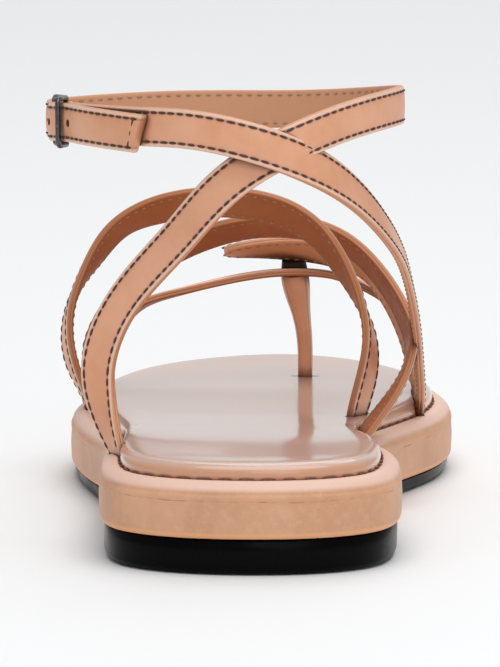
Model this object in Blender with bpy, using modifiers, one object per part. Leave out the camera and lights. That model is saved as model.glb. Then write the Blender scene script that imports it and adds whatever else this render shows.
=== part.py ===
"""Flatform thong sandal for a left foot, with crossed ankle straps and a side buckle.

The tables are in millimetres in the shoe's own axes: x runs to the inner (medial) side,
y runs forward from the back of the heel, and z runs up from the floor.
"""

import math

import bmesh
import bpy
import numpy as np
from mathutils import Matrix, Vector

MM = 0.001
CLEARANCE = 0.3

# Sole: the outer edge at each section, seen from above
SOLE_LENGTH = 236.5
HEEL_TIP = (-1.2, 0.0)
TOE_TIP = (3.0, SOLE_LENGTH)
SOLE_EDGE = (
    # y, lateral x, medial x
    (4.0, -20.5, 18.5),
    (13.0, -31.5, 29.2),
    (33.0, -36.8, 34.0),
    (62.0, -37.8, 32.0),
    (95.0, -39.8, 27.2),
    (122.0, -45.5, 33.0),
    (146.0, -50.2, 41.5),
    (168.0, -51.4, 44.8),
    (190.0, -47.8, 43.2),
    (213.0, -38.6, 34.6),
    (229.0, -22.4, 20.4),
)
SIDE_STEPS = 40

# Sole: heights of the layers
HEEL_SEAT = 8.1
BALL_SEAT = 3.4
SEAT_SLOPE = (42.0, 128.0)
SPRING_START = 180.0
SPRING_RISE = 1.2
OUTSOLE_EDGE = (
    # inset from the sole's edge, height over the floor
    (3.4, 0.0),
    (1.9, 0.5),
    (1.2, 1.7),
)
OUTSOLE_TOP_INSET = 1.0
WAIST_ARCH = (
    # y, z of the hollow between the heel's breast and the ball
    (62.5, -2.0),
    (64.5, 3.2),
    (67.0, 4.4),
    (84.0, 3.4),
    (102.0, 1.3),
    (116.0, 0.0),
    (118.0, -2.0),
)
MIDSOLE_WALL = (
    # inset from the sole's edge, height over the outsole
    (0.7, 0.3),
    (0.0, 1.1),
    (0.0, 10.1),
    (0.5, 10.6),
    (0.5, 11.2),
    (1.4, 12.4),
    (2.7, 13.3),
    (3.9, 13.5),
    (4.7, 13.1),
)
INSOLE_EDGE = (
    # inset from the sole's edge, height over the outsole
    (5.6, 13.4),
    (5.0, 14.0),
    (4.9, 15.0),
    (5.3, 16.1),
    (6.5, 16.9),
    (8.8, 17.2),
    (17.0, 16.9),
)

# Straps
STRAP_WIDTH = 9.2
STRAP_THICKNESS = 2.0
STRAP_EDGE_BEVEL = 0.45
STRAP_STEP = 4.2
FEWEST_STEPS = 8
EDGE_ANGLE = math.radians(50)
TIP_STEPS = (0.15, 0.6, 1.4, 2.6)

# Each strap is a table of stations along its middle. Aim is the compass direction of its outer
# face in degrees (0 is medial, 90 forward, 180 lateral) and rise is how far that face looks up.
BACK_STRAP = (
    # x, y, z, aim, rise
    (35.6, 156.0, 10.5, 0, 0),
    (36.6, 151.0, 18.0, 0, 5),
    (36.9, 130.0, 34.6, 0, 8),
    (36.0, 110.0, 47.6, -2, 13),
    (33.7, 85.0, 62.4, -12, 20),
    (30.1, 62.0, 73.0, -28, 27),
    (23.9, 45.0, 82.6, -44, 28),
    (14.4, 31.5, 91.0, -62, 19),
    (1.0, 24.4, 97.2, -86, 5),
    (-12.9, 26.5, 100.2, -112, 0),
    (-26.9, 36.5, 100.2, -135, 0),
    (-38.5, 50.0, 99.5, -152, 0),
    (-46.5, 66.0, 98.6, -165, 0),
)
ANKLE_STRAP = (
    # x, y, z, aim, rise; the buckle's passage and the tail are added to it
    (-29.6, 43.0, 13.0, -174, 0),
    (-31.4, 44.0, 18.0, -170, -8),
    (-33.9, 46.5, 24.0, -156, -10),
    (-37.0, 51.0, 32.0, -132, -6),
    (-38.3, 53.0, 40.0, -122, -2),
    (-36.9, 52.5, 47.5, -121, 2),
    (-32.4, 49.5, 56.8, -123, 5),
    (-18.9, 39.0, 73.5, -116, 5),
    (-2.6, 27.2, 90.8, -94, 3),
    (10.4, 29.2, 97.8, -68, 0),
    (22.6, 42.0, 101.6, -40, 0),
    (33.0, 66.0, 102.7, 0, 0),
    (26.0, 88.0, 100.5, 50, 0),
    (9.0, 100.0, 98.6, 80, 0),
    (-12.0, 103.0, 98.2, 100, 0),
    (-32.0, 96.0, 98.2, 130, 0),
)
INSTEP_STRAP = (
    # x, y, z, aim, rise
    (-45.2, 157.0, 10.5, 182, -10),
    (-47.0, 157.0, 18.0, 188, -15),
    (-50.4, 155.0, 26.6, 198, -8),
    (-52.0, 153.0, 35.0, 196, 5),
    (-50.2, 150.0, 45.8, 180, 14),
    (-45.4, 146.0, 54.9, 158, 25),
    (-38.9, 142.0, 63.8, 138, 32),
    (-29.6, 138.0, 69.1, 115, 33),
    (-17.8, 134.0, 71.8, 97, 33),
    (-6.2, 130.0, 72.0, 88, 33),
    (4.2, 128.0, 69.6, 70, 33),
    (11.7, 126.0, 65.0, 50, 31),
    (18.0, 124.0, 56.9, 30, 24),
    (22.9, 122.0, 47.5, 6, 14),
    (25.0, 120.5, 39.2, -12, 5),
    (24.2, 119.5, 29.8, -26, -5),
    (21.6, 119.0, 19.5, -24, -12),
    (20.4, 119.0, 10.5, -20, -12),
)
CROSS_STRAP = (
    # x, y, z, aim, rise
    (-43.9, 162.5, 10.5, 180, 0),
    (-45.2, 162.5, 17.0, 180, -5),
    (-46.9, 161.0, 32.3, 172, 12),
    (-40.6, 160.5, 43.4, 150, 30),
    (-33.0, 160.0, 51.5, 128, 40),
    (-17.7, 158.0, 60.2, 102, 50),
    (-1.2, 153.0, 64.0, 88, 51),
    (17.4, 146.0, 61.0, 58, 45),
    (26.6, 139.0, 53.7, 38, 32),
    (33.0, 130.0, 44.8, 24, 15),
    (35.2, 122.0, 38.4, 18, 2),
    (33.4, 113.0, 31.6, 18, -12),
    (28.6, 105.0, 24.5, 22, -22),
    (23.2, 98.5, 18.0, 22, -25),
    (19.4, 94.5, 12.5, 22, -25),
)
TOE_STRAP = (
    # x, y, z, aim, rise
    (-43.2, 174.0, 10.5, 180, 0),
    (-44.4, 174.0, 17.0, 178, 5),
    (-43.6, 174.0, 30.0, 162, 28),
    (-36.0, 176.5, 40.0, 132, 66),
    (-25.0, 181.0, 43.7, 110, 78),
    (-8.0, 187.0, 47.0, 95, 82),
    (4.0, 190.0, 47.8, 88, 82),
    (16.0, 189.0, 46.8, 75, 81),
    (25.0, 184.5, 43.5, 52, 74),
    (32.0, 179.0, 37.5, 30, 50),
    (36.0, 175.5, 27.0, 10, 14),
    (37.0, 174.5, 17.0, 0, 0),
    (36.4, 174.0, 10.5, 0, 0),
)
TAB_STRAP = (
    # x, y, z, aim, rise; it starts at its rounded free end
    (-13.8, 186.0, 53.6, 98, 72),
    (-5.4, 187.0, 54.3, 94, 60),
    (3.5, 187.0, 54.3, 88, 50),
    (12.5, 184.0, 53.7, 75, 42),
    (19.7, 180.0, 52.1, 60, 36),
    (24.5, 174.5, 49.3, 45, 30),
    (29.0, 168.5, 44.2, 30, 20),
    (33.0, 163.5, 35.8, 16, 8),
    (35.4, 161.5, 25.0, 5, 0),
    (36.2, 161.5, 17.0, 0, 0),
    (35.6, 161.5, 10.5, 0, 0),
)
TOE_POST = (
    # x, y, z, radius
    (6.9, 194.0, 12.0, 1.8),
    (6.9, 194.0, 20.0, 1.85),
    (6.75, 193.6, 30.0, 2.0),
    (5.7, 192.3, 38.1, 2.6),
    (4.5, 190.9, 45.5, 3.6),
    (4.0, 189.6, 51.2, 3.0),
)
POST_RINGS = 12
SLIT_REACH = 26.0

# Buckle, in the axes of the back strap's end: along it, across it and out from the ankle
WIRE_RADIUS = 0.65
STRAP_PLAY = 0.32
FRAME_LENGTH = 8.2
KEEPER_LENGTH = 7.0
FRAME_CORNER = 1.4
CORNER_STEPS = 4
FRAME_HALF_WIDTH = STRAP_WIDTH / 2 + STRAP_PLAY + WIRE_RADIUS
PRONG_RADIUS = 0.5
PRONG_REACH = 0.3
PRONG_PLAY = 0.25
PRONG_LOOP = WIRE_RADIUS + PRONG_PLAY + PRONG_RADIUS
PRONG_TURN = (330, 90, 11)
NOTCH_WIDTH = 2.2
SLEEVE_WALL = 1.1
SLEEVE_RADIUS = WIRE_RADIUS + CLEARANCE + SLEEVE_WALL
SLEEVE_SIDES = 20
BUCKLE_PASSAGE = (
    # along, out: the ankle strap passes under the front bar and over the centre bar
    (16.0, -1.9),
    (FRAME_LENGTH + 0.6, -WIRE_RADIUS - CLEARANCE - STRAP_THICKNESS / 2 - 0.3),
    (FRAME_LENGTH / 2 - 0.4, 0.7),
    (0.0, SLEEVE_RADIUS + CLEARANCE + STRAP_THICKNESS / 2 + 0.1),
)
TAIL_LIFT = 2.5
KEEPER_RISE = TAIL_LIFT + STRAP_THICKNESS / 2 + CLEARANCE + WIRE_RADIUS + 0.1
TAIL_ON_BACK_STRAP = (
    # distance back along the back strap, out, drop
    (KEEPER_LENGTH, TAIL_LIFT, 0.0),
    (14.0, 2.4, 0.2),
    (24.0, 2.4, 0.7),
    (37.5, 2.4, 1.5),
)

SMOOTH_ANGLE = math.radians(40)

# Colours: linear red, green and blue, with roughness and metallic value
FINISHES = {
    "outsole": ((0.006, 0.006, 0.007), 0.25, 0.0),
    "midsole": ((0.63, 0.33, 0.19), 0.55, 0.0),
    "insole": ((0.60, 0.33, 0.21), 0.30, 0.0),
    "upper": ((0.70, 0.38, 0.22), 0.50, 0.0),
    "buckle_frame": ((0.20, 0.20, 0.21), 0.30, 1.0),
    "buckle_prong": ((0.24, 0.24, 0.25), 0.30, 1.0),
}


# Smooth curves through a table's rows

def natural_spline(knots, rows, places):
    """Read the natural cubic spline through rows, one row at each knot, at the given places."""
    rows = np.asarray(rows, float)
    count = len(rows)
    span = np.diff(knots)
    slope = np.diff(rows, axis=0) / span[:, None]
    system = np.eye(count)
    right = np.zeros_like(rows)
    for i in range(1, count - 1):
        system[i, i - 1:i + 2] = span[i - 1], 2 * (span[i - 1] + span[i]), span[i]
        right[i] = 6 * (slope[i] - slope[i - 1])
    bend = np.linalg.solve(system, right)
    low = np.clip(np.searchsorted(knots, places, side="right") - 1, 0, count - 2)
    width = span[low][:, None]
    before = (np.asarray(places) - knots[low])[:, None]
    after = width - before
    curve = (bend[low] * after ** 3 + bend[low + 1] * before ** 3) / (6 * width)
    start = rows[low] / width - bend[low] * width / 6
    end = rows[low + 1] / width - bend[low + 1] * width / 6
    return curve + start * after + end * before


def chord_knots(points):
    """Distance along the points, joined by straight lines."""
    steps = np.linalg.norm(np.diff(points, axis=0), axis=1)
    return np.concatenate([[0.0], np.cumsum(steps)])


def unit(vectors):
    return vectors / np.linalg.norm(vectors, axis=-1, keepdims=True)


# Sole shapes

def sole_outline():
    """The sole's edge as a closed loop: heel tip, medial side, toe tip, lateral side."""
    medial = [(row[2], row[0]) for row in SOLE_EDGE]
    lateral = [(row[1], row[0]) for row in SOLE_EDGE]
    loop = [HEEL_TIP] + medial + [TOE_TIP] + lateral[::-1]
    rounds = np.array(loop * 3 + [HEEL_TIP], float)
    knots = chord_knots(rounds)
    heel = knots[len(loop)]
    toe = knots[len(loop) + len(medial) + 1]
    next_heel = knots[2 * len(loop)]
    inner = np.linspace(heel, toe, SIDE_STEPS + 1)
    outer = np.linspace(toe, next_heel, SIDE_STEPS + 1)
    places = np.concatenate([inner, outer[1:-1]])
    return natural_spline(knots, rounds, places)


OUTLINE = sole_outline()
OUTLINE_TANGENT = unit(np.roll(OUTLINE, -1, axis=0) - np.roll(OUTLINE, 1, axis=0))
OUTLINE_INWARD = np.stack([-OUTLINE_TANGENT[:, 1], OUTLINE_TANGENT[:, 0]], axis=1)


def toe_spring(y):
    """How far the toe is lifted off the floor at y."""
    part = np.clip((y - SPRING_START) / (SOLE_LENGTH - SPRING_START), 0, None)
    return SPRING_RISE * part ** 2


def seat_height(y):
    """Height of the outsole's top, which falls from the heel to the ball."""
    part = np.clip((y - SEAT_SLOPE[0]) / (SEAT_SLOPE[1] - SEAT_SLOPE[0]), 0, 1)
    ease = part * part * (3 - 2 * part)
    return HEEL_SEAT + (BALL_SEAT - HEEL_SEAT) * ease + toe_spring(y)


def sole_ring(inset, rise, base):
    """A loop inside the sole's edge, lifted over the base height at each point."""
    flat = OUTLINE + OUTLINE_INWARD * inset
    return np.column_stack([flat, base(flat[:, 1]) + rise])


def loft_sole(name, rings):
    """Join sole loops from the bottom to the top and close both ends with strips across."""
    shape = bmesh.new()
    loops = [[shape.verts.new(Vector(point) * MM) for point in ring] for ring in rings]
    count = len(loops[0])
    for lower, upper in zip(loops, loops[1:]):
        for i in range(count):
            after = (i + 1) % count
            shape.faces.new((lower[i], lower[after], upper[after], upper[i]))
    for loop in (loops[0], loops[-1]):
        for i in range(SIDE_STEPS):
            corners = (loop[i], loop[i + 1], loop[-i - 1], loop[-i % count])
            shape.faces.new(tuple(dict.fromkeys(corners)))
    bmesh.ops.recalc_face_normals(shape, faces=shape.faces)
    return mesh_object(name, shape)


def make_outsole():
    """Rubber outsole with a low heel: its waist is hollowed behind the ball."""
    rings = [sole_ring(inset, height, toe_spring) for inset, height in OUTSOLE_EDGE]
    rings.append(sole_ring(OUTSOLE_TOP_INSET, 0.0, seat_height))
    outsole = loft_sole("outsole", rings)
    profile = bmesh.new()
    reach = 2 * max(row[2] for row in SOLE_EDGE)
    side = [profile.verts.new(Vector((-reach, y, z)) * MM) for y, z in WAIST_ARCH]
    face = profile.faces.new(side)
    swept = bmesh.ops.extrude_face_region(profile, geom=[face])
    moved = [item for item in swept["geom"] if isinstance(item, bmesh.types.BMVert)]
    bmesh.ops.translate(profile, verts=moved, vec=Vector((2 * reach, 0, 0)) * MM)
    bmesh.ops.recalc_face_normals(profile, faces=profile.faces)
    boolean(outsole, cutter(mesh_object("waist_arch", profile)), "DIFFERENCE")
    return outsole


def make_midsole():
    """Leather-wrapped platform: a straight wall, a crease and a domed margin."""
    return loft_sole("midsole", [sole_ring(*row, seat_height) for row in MIDSOLE_WALL])


def make_insole():
    """Padded footbed with a rounded edge and a slightly dished top."""
    return loft_sole("insole", [sole_ring(*row, seat_height) for row in INSOLE_EDGE])


# Straps

def strap_frames(rows, rounded_tip=False):
    """Points along a strap's middle, with its direction, its outer face and its width direction."""
    table = np.array(rows, float)
    knots = chord_knots(table[:, :3])
    count = max(FEWEST_STEPS, round(knots[-1] / STRAP_STEP)) + 1
    places = np.linspace(0.0, knots[-1], count)
    if rounded_tip:
        places = np.concatenate([TIP_STEPS, places[1:]])
    read = natural_spline(knots, table, places)
    points = read[:, :3]
    along = unit(np.gradient(points, places, axis=0))
    aim, rise = np.radians(read[:, 3]), np.radians(read[:, 4])
    facing = np.stack([np.cos(rise) * np.cos(aim), np.cos(rise) * np.sin(aim), np.sin(rise)], axis=1)
    facing = unit(facing - along * np.sum(facing * along, axis=1, keepdims=True))
    return {"places": places, "points": points, "along": along, "out": facing,
            "across": np.cross(facing, along)}


def strap_half_widths(frames, rounded_tip):
    """Half of the strap's width at each ring, with a round free end where it has one."""
    half = np.full(len(frames["places"]), STRAP_WIDTH / 2)
    if rounded_tip:
        into = np.clip(half - frames["places"], 0, None)
        half = np.sqrt(half ** 2 - into ** 2)
    return half


def ribbon(name, points, across, half_widths, thickness, bevel):
    """A strap: an open strip of faces that is given its thickness, with eased edges."""
    shape = bmesh.new()
    rows = []
    for point, side, half in zip(points, across, half_widths):
        rows.append([shape.verts.new(Vector(point + side * half * sign) * MM) for sign in (-1, 1)])
    for first, second in zip(rows, rows[1:]):
        shape.faces.new((first[0], first[1], second[1], second[0]))
    strap = mesh_object(name, shape)
    wall = strap.modifiers.new("wall", "SOLIDIFY")
    wall.thickness = thickness * MM
    wall.offset = 0.0
    if bevel:
        ease = strap.modifiers.new("eased_edges", "BEVEL")
        ease.width = bevel * MM
        ease.segments = 1
        ease.limit_method = "ANGLE"
        ease.angle_limit = EDGE_ANGLE
    return strap


def make_strap(name, rows, rounded_tip=False):
    frames = strap_frames(rows, rounded_tip)
    half = strap_half_widths(frames, rounded_tip)
    return ribbon(name, frames["points"], frames["across"], half, STRAP_THICKNESS, STRAP_EDGE_BEVEL)


def make_slit(name, rows):
    """The room that a strap's root takes in the sole, clear of the strap on every side."""
    frames = strap_frames(rows)
    root = frames["points"][0] - frames["along"][0] * CLEARANCE
    keep = frames["places"] < SLIT_REACH
    points = np.vstack([[root], frames["points"][keep][1:]])
    across = frames["across"][keep]
    half = np.full(len(points), STRAP_WIDTH / 2 + CLEARANCE)
    return ribbon(name, points, across, half, STRAP_THICKNESS + 2 * CLEARANCE, 0.0)


def tube(name, points, radii, cyclic=False):
    """A round wire or stem along the points, closed at its ends, as a mesh."""
    data = bpy.data.curves.new(name, "CURVE")
    data.dimensions = "3D"
    data.bevel_depth = MM
    data.bevel_resolution = 2
    data.use_fill_caps = True
    spline = data.splines.new("POLY")
    spline.points.add(len(points) - 1)
    spline.use_cyclic_u = cyclic
    for target, point, radius in zip(spline.points, points, radii):
        target.co = (*(Vector(point) * MM), 1.0)
        target.radius = radius
    stem = bpy.data.objects.new(name + "_path", data)
    bpy.context.scene.collection.objects.link(stem)
    evaluated = stem.evaluated_get(bpy.context.evaluated_depsgraph_get())
    plain = bpy.data.meshes.new_from_object(evaluated)
    bpy.data.objects.remove(stem)
    shape = bmesh.new()
    shape.from_mesh(plain)
    bpy.data.meshes.remove(plain)
    bmesh.ops.remove_doubles(shape, verts=shape.verts, dist=1e-6)
    bmesh.ops.recalc_face_normals(shape, faces=shape.faces)
    return mesh_object(name, shape)


def make_toe_post(name, growth=0.0):
    """The stem between the toes, which widens upward to the straps that it holds."""
    table = np.array(TOE_POST)
    knots = chord_knots(table[:, :3])
    places = np.linspace(-growth, knots[-1], POST_RINGS)
    read = natural_spline(knots, table, places)
    return tube(name, read[:, :3], read[:, 3] + growth)


# Buckle

def buckle_frame_axes():
    """The back strap's end: its middle and the directions along, across and out."""
    frames = strap_frames(BACK_STRAP)
    return tuple(frames[key][-1] for key in ("points", "along", "across", "out"))


def place_on_buckle(item):
    """Stand an object that is drawn in the buckle's own axes at the back strap's end."""
    pivot, along, across, out = buckle_frame_axes()
    turn = Matrix((along, across, out)).transposed().to_4x4()
    item.matrix_basis = Matrix.Translation(Vector(pivot) * MM) @ turn
    return item


def facing_angles(out):
    """Aim and rise of a direction, with the aim counted on past the front of the ankle."""
    aim = math.degrees(math.atan2(out[1], out[0])) % 360
    return aim, math.degrees(math.asin(out[2]))


def ankle_strap_rows():
    """The ankle strap's stations through the buckle and on to its tail over the back strap."""
    pivot, along, across, out = buckle_frame_axes()
    rows = list(ANKLE_STRAP)
    aim, rise = facing_angles(out)
    for ahead, lift in BUCKLE_PASSAGE:
        rows.append((*(pivot + along * ahead + out * lift), aim, rise))
    frames = strap_frames(BACK_STRAP)
    from_end = frames["places"][-1] - frames["places"]
    for back, lift, drop in TAIL_ON_BACK_STRAP:
        read = {key: np.array([np.interp(back, from_end[::-1], frames[key][::-1, axis])
                               for axis in range(3)]) for key in ("points", "out")}
        place = read["points"] + read["out"] * lift - np.array((0, 0, drop))
        rows.append((*place, *facing_angles(unit(read["out"]))))
    return rows


def make_buckle_frame():
    """Wire frame bent up behind its centre bar, so that its rear bar lies over the strap's tail."""
    front = FRAME_LENGTH - FRAME_CORNER
    rear = FRAME_CORNER - KEEPER_LENGTH
    points = []
    for middle, side, start in ((front, 1, 0), (rear, 1, 90), (rear, -1, 180), (front, -1, 270)):
        for step in range(CORNER_STEPS):
            angle = math.radians(start + step * 90 / (CORNER_STEPS - 1))
            along = middle + FRAME_CORNER * math.cos(angle)
            across = side * (FRAME_HALF_WIDTH - FRAME_CORNER) + FRAME_CORNER * math.sin(angle)
            points.append((along, across, max(0.0, -along) * KEEPER_RISE / KEEPER_LENGTH))
        if middle * side > 0:
            points.append((0.0, side * FRAME_HALF_WIDTH, 0.0))
    wire = place_on_buckle(tube("buckle_frame", points, [WIRE_RADIUS] * len(points), cyclic=True))
    ends = [(0.0, side * FRAME_HALF_WIDTH, 0.0) for side in (-1, 1)]
    bar = place_on_buckle(tube("centre_bar", ends, [WIRE_RADIUS] * len(ends)))
    boolean(wire, cutter(bar), "UNION")
    return wire


def prong_path():
    """The prong from under the centre bar, round it and forward on to the front bar."""
    turns = np.radians(np.linspace(*PRONG_TURN))
    points = [(PRONG_LOOP * math.cos(turn), 0.0, PRONG_LOOP * math.sin(turn)) for turn in turns]
    rest = WIRE_RADIUS + CLEARANCE + PRONG_RADIUS
    points.append((FRAME_LENGTH / 2, 0.0, PRONG_LOOP))
    points.append((FRAME_LENGTH + PRONG_REACH, 0.0, rest))
    return points


def make_buckle_prong():
    points = prong_path()
    return place_on_buckle(tube("buckle_prong", points, [PRONG_RADIUS] * len(points)))


def join_sleeve(upper):
    """Fold the back strap's end round the centre bar, with a notch for the prong's loop."""
    sleeve = bmesh.new()
    bmesh.ops.create_cone(sleeve, cap_ends=True, segments=SLEEVE_SIDES, radius1=SLEEVE_RADIUS * MM,
                          radius2=SLEEVE_RADIUS * MM, depth=STRAP_WIDTH * MM,
                          matrix=Matrix.Rotation(math.radians(90), 4, "X"))
    boolean(upper, cutter(place_on_buckle(mesh_object("sleeve", sleeve))), "UNION")
    bore = bmesh.new()
    radius = (WIRE_RADIUS + CLEARANCE) * MM
    bmesh.ops.create_cone(bore, cap_ends=True, segments=SLEEVE_SIDES, radius1=radius, radius2=radius,
                          depth=2 * STRAP_WIDTH * MM, matrix=Matrix.Rotation(math.radians(90), 4, "X"))
    boolean(upper, cutter(place_on_buckle(mesh_object("sleeve_bore", bore))), "DIFFERENCE")
    notch = bmesh.new()
    size = 2 * (PRONG_LOOP + PRONG_RADIUS + CLEARANCE)
    bmesh.ops.create_cube(notch, size=MM, matrix=Matrix.Diagonal((size, NOTCH_WIDTH, size, 1)))
    boolean(upper, cutter(place_on_buckle(mesh_object("prong_notch", notch))), "DIFFERENCE")


def cut_prong_hole(strap):
    """The punched hole that the prong comes through."""
    points = prong_path()[-3:]
    hole = tube("prong_hole", points, [PRONG_RADIUS + CLEARANCE] * len(points))
    boolean(strap, cutter(place_on_buckle(hole)), "DIFFERENCE")


def make_upper():
    """All straps and the toe post, joined where they cross."""
    upper = make_strap("upper", BACK_STRAP)
    join_sleeve(upper)
    ankle = make_strap("ankle_strap", ankle_strap_rows())
    cut_prong_hole(ankle)
    joined = [
        ankle,
        make_strap("instep_strap", INSTEP_STRAP),
        make_strap("cross_strap", CROSS_STRAP),
        make_strap("toe_strap", TOE_STRAP),
        make_strap("tab_strap", TAB_STRAP, rounded_tip=True),
        make_toe_post("toe_post"),
    ]
    for piece in joined:
        boolean(upper, cutter(piece), "UNION")
    return upper


def cut_slits(*layers):
    """Let every strap's root into the sole's layers."""
    roots = {
        "back": BACK_STRAP,
        "ankle": ANKLE_STRAP,
        "instep_lateral": INSTEP_STRAP,
        "instep_medial": INSTEP_STRAP[::-1],
        "cross_lateral": CROSS_STRAP,
        "cross_medial": CROSS_STRAP[::-1],
        "toe_lateral": TOE_STRAP,
        "toe_medial": TOE_STRAP[::-1],
        "tab": TAB_STRAP[::-1],
    }
    slits = [make_slit(name + "_slit", rows) for name, rows in roots.items()]
    slits.append(make_toe_post("toe_post_slit", CLEARANCE))
    for slit in slits:
        cutter(slit)
        for layer in layers:
            boolean(layer, slit, "DIFFERENCE", solver="MANIFOLD")


# Objects, collections and materials

def mesh_object(name, shape):
    """Make an object of a shape and free the shape."""
    mesh = bpy.data.meshes.new(name)
    shape.to_mesh(mesh)
    shape.free()
    item = bpy.data.objects.new(name, mesh)
    PARTS.objects.link(item)
    item.parent = ORIGIN
    return item


def cutter(item):
    """Move an object to the cutters, which only shape other pieces."""
    PARTS.objects.unlink(item)
    CUTTERS.objects.link(item)
    item.hide_render = True
    item.display_type = "WIRE"
    return item


def boolean(item, other, operation, solver="EXACT"):
    step = item.modifiers.new(other.name, "BOOLEAN")
    step.operation = operation
    step.object = other
    step.solver = solver


def finish(item):
    """Give a piece its own material and smooth shading."""
    colour, roughness, metallic = FINISHES[item.name]
    material = bpy.data.materials.new(item.name)
    material.use_nodes = True
    shader = material.node_tree.nodes["Principled BSDF"]
    shader.inputs["Base Color"].default_value = (*colour, 1.0)
    shader.inputs["Roughness"].default_value = roughness
    shader.inputs["Metallic"].default_value = metallic
    item.data.materials.append(material)
    item.data.shade_smooth()
    item.data.set_sharp_from_angle(angle=SMOOTH_ANGLE)


def rest_on_origin(pieces):
    """Bring the middle of the whole shoe's underside to the origin."""
    depsgraph = bpy.context.evaluated_depsgraph_get()
    corners = []
    for piece in pieces:
        evaluated = piece.evaluated_get(depsgraph)
        corners += [evaluated.matrix_world @ corner.co for corner in evaluated.data.vertices]
    low = Vector(min(corner[axis] for corner in corners) for axis in range(3))
    high = Vector(max(corner[axis] for corner in corners) for axis in range(3))
    ORIGIN.location = (-(low.x + high.x) / 2, -(low.y + high.y) / 2, -low.z)


for old in list(bpy.data.objects):
    bpy.data.objects.remove(old)
PARTS = bpy.data.collections.new("flatform_sandal")
CUTTERS = bpy.data.collections.new("sandal_cutters")
bpy.context.scene.collection.children.link(PARTS)
bpy.context.scene.collection.children.link(CUTTERS)
ORIGIN = bpy.data.objects.new("sandal_origin", None)
PARTS.objects.link(ORIGIN)

sole_layers = [make_outsole(), make_midsole(), make_insole()]
cut_slits(*sole_layers[1:])
sandal = sole_layers + [make_upper(), make_buckle_frame(), make_buckle_prong()]
for part in sandal:
    finish(part)
rest_on_origin(sandal)
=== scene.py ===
"""Looks of the flatform sandal: the leather, thread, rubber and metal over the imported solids."""

import math

import bmesh
import bpy
import numpy as np
from mathutils import Matrix, Vector


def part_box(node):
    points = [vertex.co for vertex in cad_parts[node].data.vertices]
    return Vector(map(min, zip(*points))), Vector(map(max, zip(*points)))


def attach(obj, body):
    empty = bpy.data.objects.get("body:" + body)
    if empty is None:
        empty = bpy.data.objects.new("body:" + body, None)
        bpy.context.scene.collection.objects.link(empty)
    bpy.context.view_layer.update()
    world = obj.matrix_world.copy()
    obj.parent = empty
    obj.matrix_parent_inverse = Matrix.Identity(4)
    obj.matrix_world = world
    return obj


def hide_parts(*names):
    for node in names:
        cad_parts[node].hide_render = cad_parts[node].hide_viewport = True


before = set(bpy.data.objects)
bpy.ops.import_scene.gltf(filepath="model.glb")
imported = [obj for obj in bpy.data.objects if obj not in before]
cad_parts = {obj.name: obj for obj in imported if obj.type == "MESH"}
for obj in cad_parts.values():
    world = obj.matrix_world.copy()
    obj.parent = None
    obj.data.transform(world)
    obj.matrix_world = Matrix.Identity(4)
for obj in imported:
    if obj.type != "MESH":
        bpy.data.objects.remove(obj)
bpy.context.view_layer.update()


# Outsole: a moulded rubber unit, black and polished, with a low heel and a hollow under the arch.
# It is cemented under the wrapped platform, a little inside the platform's edge.

MM = 0.001
SOLE_LENGTH = 236.5
HEEL_TIP = (-1.2, 0.0)
TOE_TIP = (3.0, SOLE_LENGTH)
SOLE_EDGE = (
    # y, lateral x, medial x
    (4.0, -20.5, 18.5),
    (13.0, -31.5, 29.2),
    (33.0, -36.8, 34.0),
    (62.0, -37.8, 32.0),
    (95.0, -39.8, 27.2),
    (122.0, -45.5, 33.0),
    (146.0, -50.2, 41.5),
    (168.0, -51.4, 44.8),
    (190.0, -47.8, 43.2),
    (213.0, -38.6, 34.6),
    (229.0, -22.4, 20.4),
)
SIDE_STEPS = 150
SMOOTH_ANGLE = 55
CLOSED_IN_SAMPLES = 8
COLOUR_MIX_INPUTS = (0, 6, 7)
COLOUR_MIX_OUTPUT = 2
HEEL_SEAT = 8.1
BALL_SEAT = 3.4
SEAT_SLOPE = (42.0, 128.0)
SPRING_START = 180.0
SPRING_RISE = 1.2
OUTSOLE_FOOT = (
    # inset from the sole's edge, height over the floor
    (3.4, 0.0),
    (2.4, 0.12),
    (1.7, 0.5),
    (1.3, 1.0),
    (1.1, 1.6),
)
OUTSOLE_WALL = (
    # inset, share of the way up to the platform
    (1.0, 0.62),
    (1.0, 0.96),
    (1.3, 1.0),
)
WAIST_ARCH = (
    # y, z of the hollow between the heel's breast and the ball
    (62.5, -2.0),
    (64.5, 3.2),
    (67.0, 4.4),
    (84.0, 3.4),
    (102.0, 1.3),
    (116.0, 0.0),
    (118.0, -2.0),
)
RUBBER_BLACK = (0.0012, 0.0012, 0.0014, 1.0)


def natural_spline(knots, rows, places):
    """Read the natural cubic spline through rows, one row at each knot, at the given places."""
    rows = np.asarray(rows, float)
    count = len(rows)
    span = np.diff(knots)
    slope = np.diff(rows, axis=0) / span[:, None]
    system = np.eye(count)
    right = np.zeros_like(rows)
    for i in range(1, count - 1):
        system[i, i - 1:i + 2] = span[i - 1], 2 * (span[i - 1] + span[i]), span[i]
        right[i] = 6 * (slope[i] - slope[i - 1])
    bend = np.linalg.solve(system, right)
    low = np.clip(np.searchsorted(knots, places, side="right") - 1, 0, count - 2)
    width = span[low][:, None]
    before = (np.asarray(places) - knots[low])[:, None]
    after = width - before
    curve = (bend[low] * after ** 3 + bend[low + 1] * before ** 3) / (6 * width)
    start = rows[low] / width - bend[low] * width / 6
    end = rows[low + 1] / width - bend[low + 1] * width / 6
    return curve + start * after + end * before


def chord_knots(points):
    """Distance along the points, joined by straight lines."""
    steps = np.linalg.norm(np.diff(points, axis=0), axis=1)
    return np.concatenate([[0.0], np.cumsum(steps)])


def unit(vectors):
    return vectors / np.linalg.norm(vectors, axis=-1, keepdims=True)


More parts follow.
